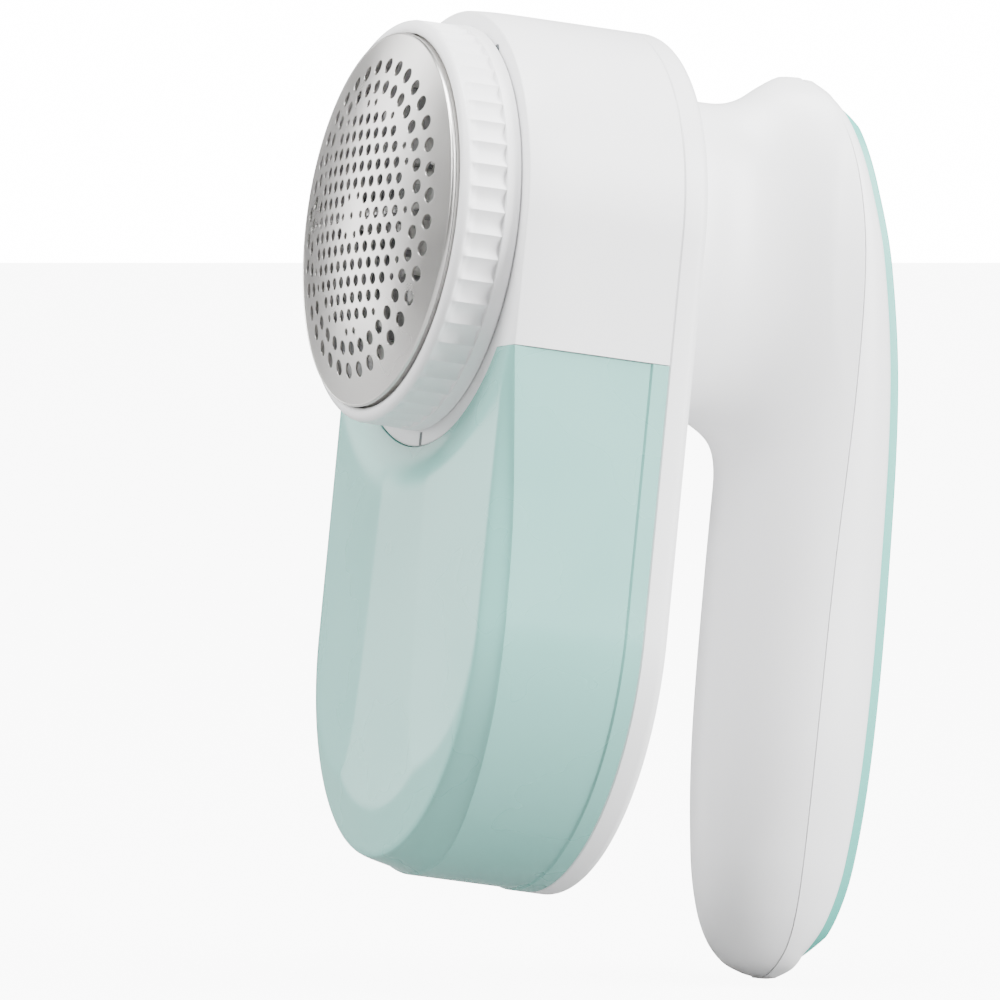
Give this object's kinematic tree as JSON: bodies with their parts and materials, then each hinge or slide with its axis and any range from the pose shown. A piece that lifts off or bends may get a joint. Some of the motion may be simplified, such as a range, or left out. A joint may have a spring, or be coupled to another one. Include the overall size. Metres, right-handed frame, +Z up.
{
  "type": "fabric shaver",
  "caption": "Battery fabric shaver: domed perforated foil in a fluted ring, six-blade cutter, translucent lint catcher and a curved rear handle.",
  "frame": {"origin": "bottom centre of the whole object's box: the tip of the handle is at z 0, and the foil's axis lies in the plane x 0", "axes": "+Z up along the handle towards the head, -Y out through the foil, +X across the head to complete a right-handed frame"},
  "size_m": [0.0676, 0.0898, 0.1409],
  "materials": {
    "stainless_foil": "satin",
    "white_abs": "semi-gloss",
    "white_acetal": "matt",
    "natural_acetal": "matt",
    "inner_abs": "matt",
    "blade_steel": "ground",
    "spring_steel": "bright",
    "screw_steel": "zinc plated",
    "motor_steel": "drawn",
    "mark_grey": "matt",
    "switch_black": "matt",
    "mint_clear": "polished, translucent",
    "mint_abs": "semi-gloss",
    "cell_jacket": "film",
    "board_green": "solder mask",
    "lead_red": "extruded",
    "lead_black": "extruded"
  },
  "bodies": {
    "casing": {"upper_housing": "white_abs", "index_mark": "mark_grey", "plunger_spring": "spring_steel", "safety_switch": "switch_black", "lint_duct": "inner_abs", "motor_mount": "inner_abs", "motor_screws": "screw_steel", "motor_can": "motor_steel", "motor_cap": "natural_acetal", "rear_frame": "white_abs", "housing_screws": "screw_steel", "neck": "white_abs", "handle_front": "white_abs", "handle_back": "white_abs", "handle_screws": "screw_steel", "cell_tray": "inner_abs", "cell_left": "cell_jacket", "cell_right": "cell_jacket", "cell_springs": "spring_steel", "cell_contacts": "spring_steel", "circuit_board": "board_green", "switch_body": "switch_black", "lead_red": "lead_red", "lead_black": "lead_black"},
    "foil": {"foil": "stainless_foil"},
    "ring": {"head_ring": "white_abs"},
    "drive": {"motor_shaft": "spring_steel", "drive_hub": "natural_acetal", "cutter_spring": "spring_steel"},
    "cutter": {"cutter_disc": "white_acetal", "cutter_blades": "blade_steel"},
    "plunger": {"safety_plunger": "mark_grey"},
    "catcher": {"lint_catcher": "mint_clear"},
    "power_knob": {"switch_knob": "white_abs"},
    "cover": {"battery_cover": "mint_abs"}
  },
  "joints": [
    {"name": "head_pull", "type": "slide", "parent": "casing", "child": "foil", "axis": [0, -1, 0], "range_m": [0, 0.04]},
    {"name": "ring_twist", "type": "hinge", "parent": "foil", "child": "ring", "pos_m": [0, -0.035, 0.1074], "axis": [0, -1, 0], "range_deg": [0, 30]},
    {"name": "cutter_spin", "type": "hinge", "parent": "casing", "child": "drive", "pos_m": [0, -0.02, 0.1074], "axis": [0, -1, 0], "continuous": true},
    {"name": "cutter_pull", "type": "slide", "parent": "drive", "child": "cutter", "axis": [0, -1, 0], "range_m": [0, 0.02]},
    {"name": "plunger_rise", "type": "slide", "parent": "casing", "child": "plunger", "axis": [0, -1, 0], "range_m": [0, 0.0016]},
    {"name": "catcher_pull", "type": "slide", "parent": "casing", "child": "catcher", "axis": [0, 0, -1], "range_m": [0, 0.06]},
    {"name": "power_slide", "type": "slide", "parent": "casing", "child": "power_knob", "axis": [0, 0, 1], "range_m": [0, 0.007]},
    {"name": "cover_pull", "type": "slide", "parent": "casing", "child": "cover", "axis": [0, 1, 0], "range_m": [0, 0.025]}
  ],
  "couplings": [
    {"joint": "cutter_pull", "follows": "head_pull", "ratio": 0.5},
    {"joint": "plunger_rise", "follows": "head_pull", "ratio": 0.04}
  ]
}
